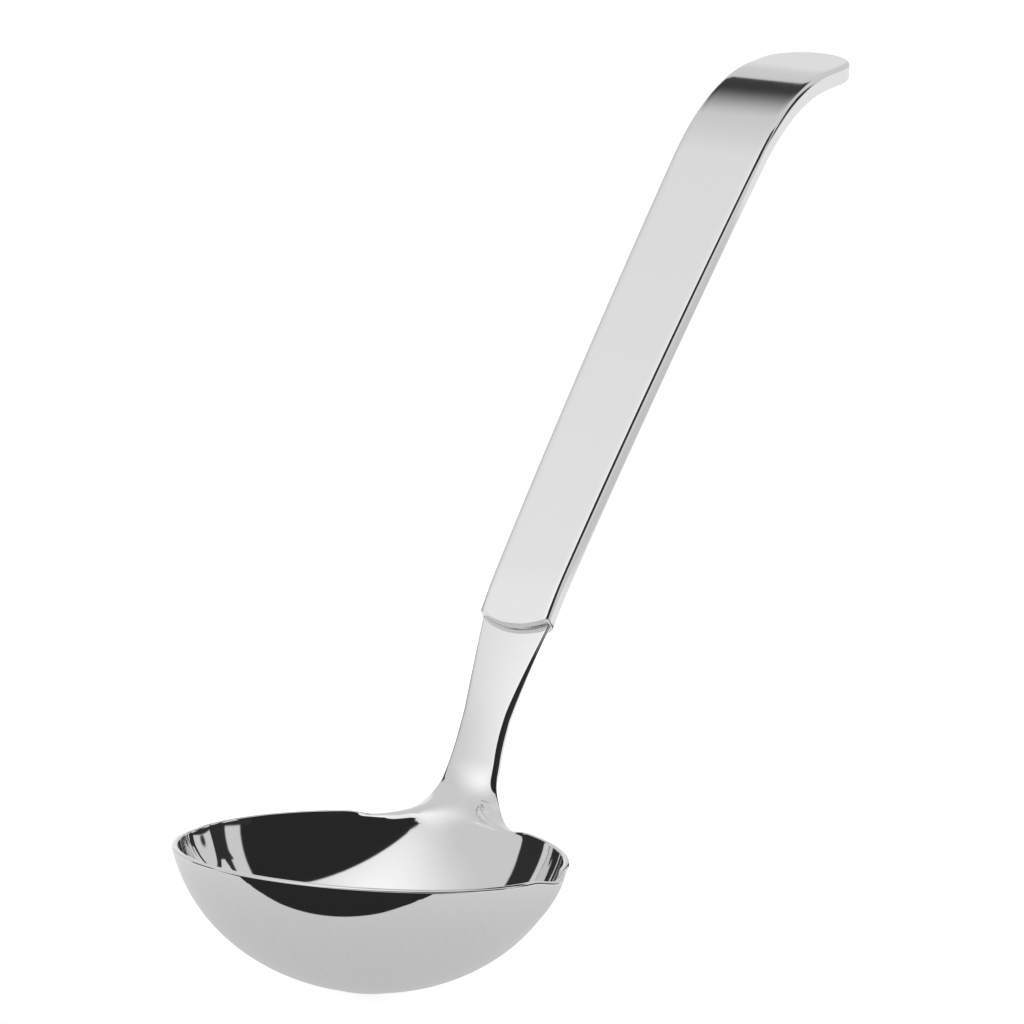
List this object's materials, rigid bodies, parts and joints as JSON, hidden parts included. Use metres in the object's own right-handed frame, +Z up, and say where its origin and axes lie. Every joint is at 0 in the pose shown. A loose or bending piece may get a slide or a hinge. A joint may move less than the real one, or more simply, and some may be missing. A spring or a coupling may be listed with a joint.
{
  "type": "sauce ladle",
  "caption": "Sauce ladle with a deep round bowl, side pouring lips, a waisted neck and a flat hollow handle turned back at its end.",
  "frame": {"origin": "middle of the flat foot under the bowl, on its lower face", "axes": "+Z up with the rim level, +Y from the bowl towards the handle, X from pouring lip to pouring lip; the object is the same on both sides of X = 0"},
  "size_m": [0.0824, 0.2658, 0.1564],
  "materials": {
    "polished_steel": "mirror-polished stainless steel",
    "front_satin_steel": "fine satin stainless steel, grain along the handle",
    "back_satin_steel": "fine satin stainless steel, grain along the handle",
    "plate_steel": "plain stainless sheet with a welded edge",
    "bedding_grey": "hard grey filling compound, matt"
  },
  "bodies": {
    "root": {"bowl_and_neck": "polished_steel", "handle_front_shell": "front_satin_steel", "handle_back_shell": "back_satin_steel", "mouth_plate": "plate_steel", "tang_bedding": "bedding_grey"}
  },
  "joints": []
}
